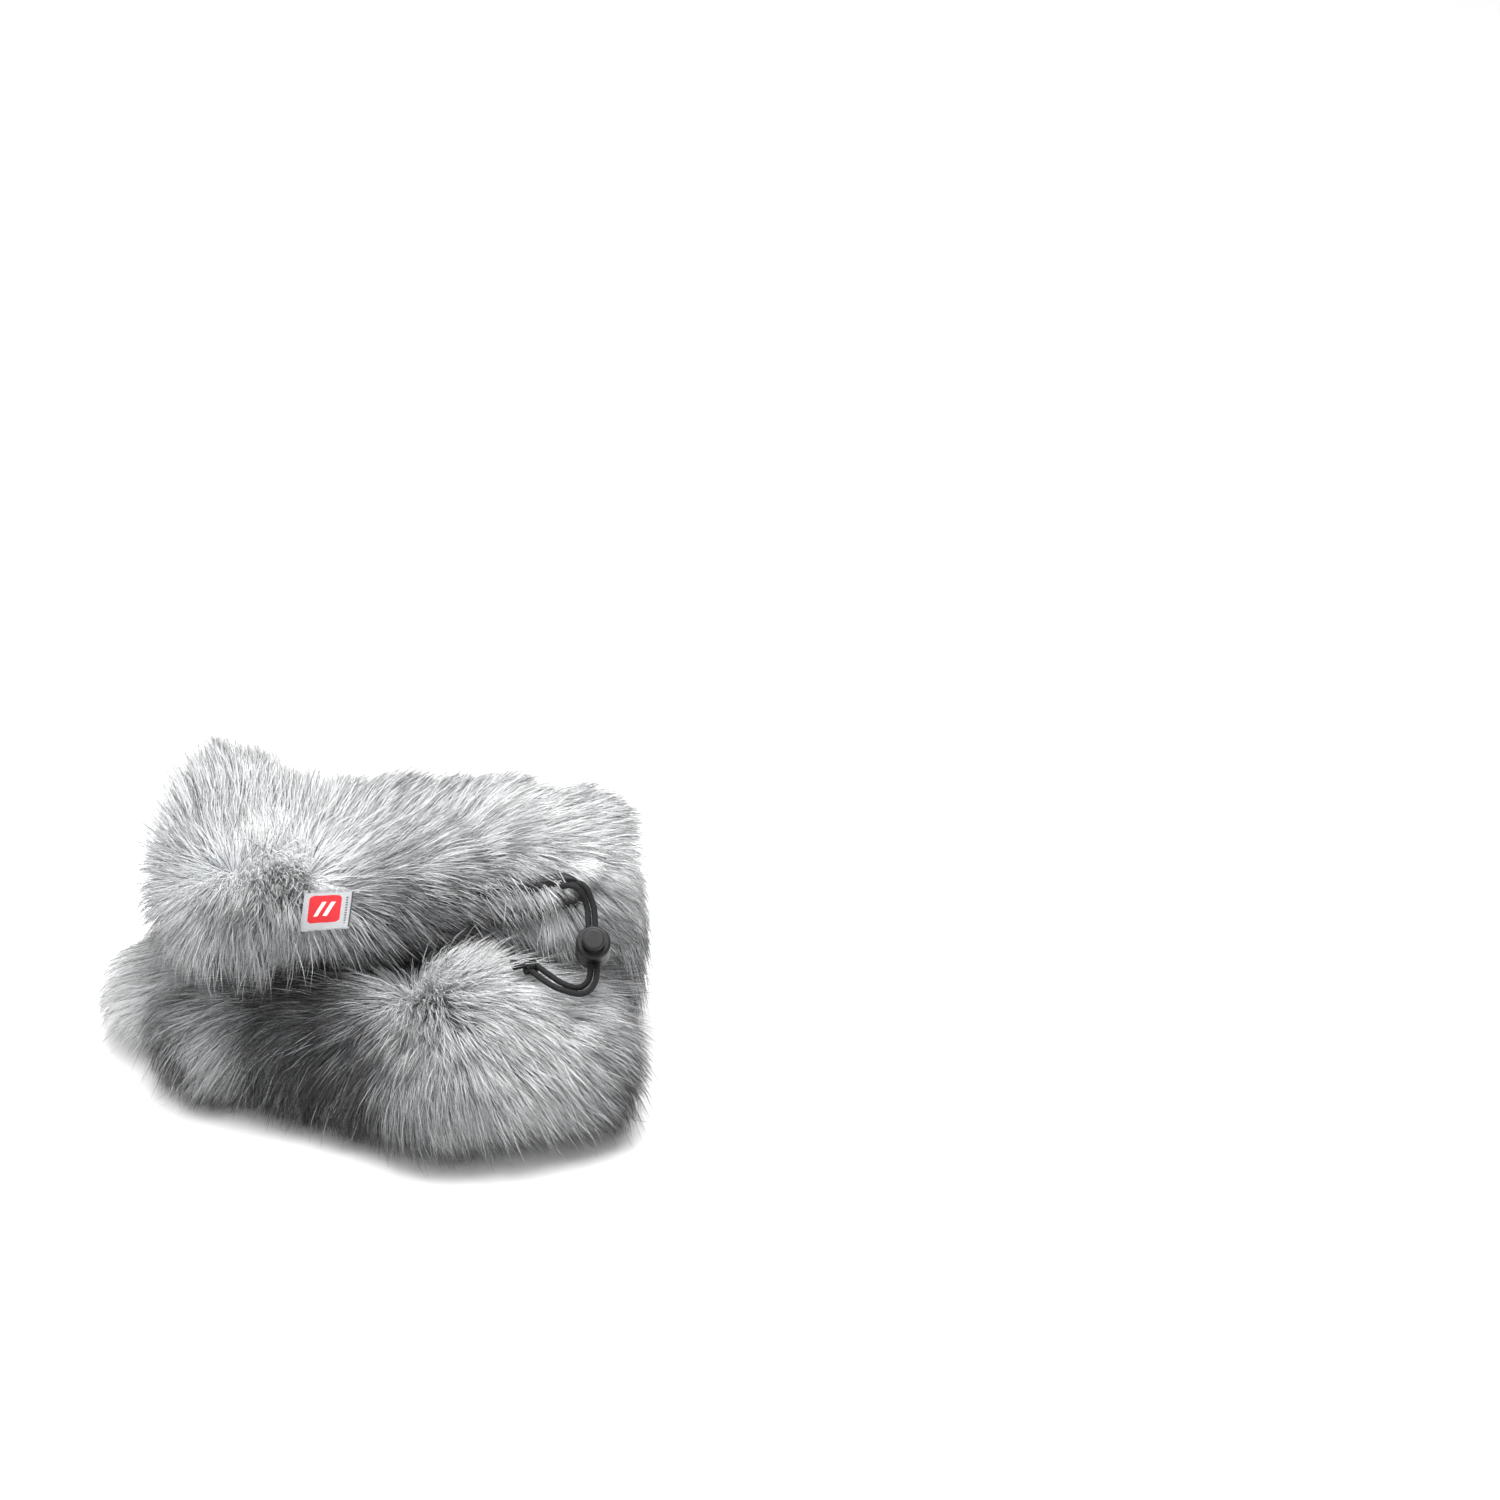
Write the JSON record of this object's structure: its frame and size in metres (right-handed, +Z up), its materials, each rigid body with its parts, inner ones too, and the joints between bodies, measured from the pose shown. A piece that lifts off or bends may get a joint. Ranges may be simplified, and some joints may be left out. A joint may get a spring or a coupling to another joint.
{
  "type": "furry microphone windshield cover",
  "caption": "Long-pile grey fur cover for a blimp windshield, folded once, with a drawcord slit, a cord lock and a woven label.",
  "frame": {"origin": "on the surface the cover lies on, under the middle of its box", "axes": "+X along the folded bundle towards its fold, -Y the side with the slit and the cord lock, +Z up"},
  "size_m": [0.22, 0.177, 0.104],
  "materials": {
    "fur_pile": "long silky pile, white and grey with dark tips",
    "knit_backing": "matte fine knit",
    "seam_tape": "matte twill tape",
    "grey_thread": "matte twisted thread",
    "hem_fabric": "matte woven",
    "black_thread": "matte twisted thread",
    "drawcord": "braided, slight sheen",
    "lock_plastic": "fine moulded grain",
    "spring_steel": "drawn wire",
    "label_weave": "fine damask weave, silver grey with a red block"
  },
  "bodies": {
    "lower_half": {"fur_lower_panel": "fur_pile", "fur_lower_end_panel": "fur_pile", "fur_fold_wall": "fur_pile", "backing_lower": "knit_backing", "backing_lower_end": "knit_backing", "backing_fold": "knit_backing", "seam_tape_lower": "seam_tape", "seam_thread_lower": "grey_thread"},
    "upper_half": {"fur_upper_panel": "fur_pile", "fur_upper_end_panel": "fur_pile", "backing_upper": "knit_backing", "backing_upper_end": "knit_backing", "seam_tape_upper": "seam_tape", "seam_thread_upper": "grey_thread", "opening_hem_casing": "hem_fabric", "hem_stitching": "grey_thread", "cord_exit_bartacks": "black_thread", "drawcord_hem_loop": "drawcord", "drawcord_left_strand": "drawcord", "drawcord_right_strand": "drawcord", "cord_end_knot": "drawcord", "label_stitching": "grey_thread"},
    "cord_lock": {"cord_lock_barrel": "lock_plastic", "cord_lock_spring": "spring_steel"},
    "lock_plunger": {"cord_lock_plunger": "lock_plastic"},
    "label": {"woven_label": "label_weave"}
  },
  "joints": [
    {"name": "fold_open", "type": "hinge", "parent": "lower_half", "child": "upper_half", "pos_m": [0.097, 0, 0.052], "axis": [0, 1, 0], "range_deg": [0, 178], "deforming": ["fur_fold_wall", "backing_fold"]},
    {"name": "lock_slide", "type": "slide", "parent": "upper_half", "child": "cord_lock", "axis": [0, 0.7431, 0.6691], "range_m": [0, 0.008]},
    {"name": "lock_press", "type": "slide", "parent": "cord_lock", "child": "lock_plunger", "axis": [0, 0.6691, -0.7431], "range_m": [0, 0.0026], "stiffness_N_per_m": 900, "springref_m": -0.001, "deforming": ["cord_lock_spring"]},
    {"name": "label_flap", "type": "hinge", "parent": "upper_half", "child": "label", "pos_m": [-0.021, -0.0269, 0.0993], "axis": [-1, 0, 0], "range_deg": [0, 70]}
  ]
}
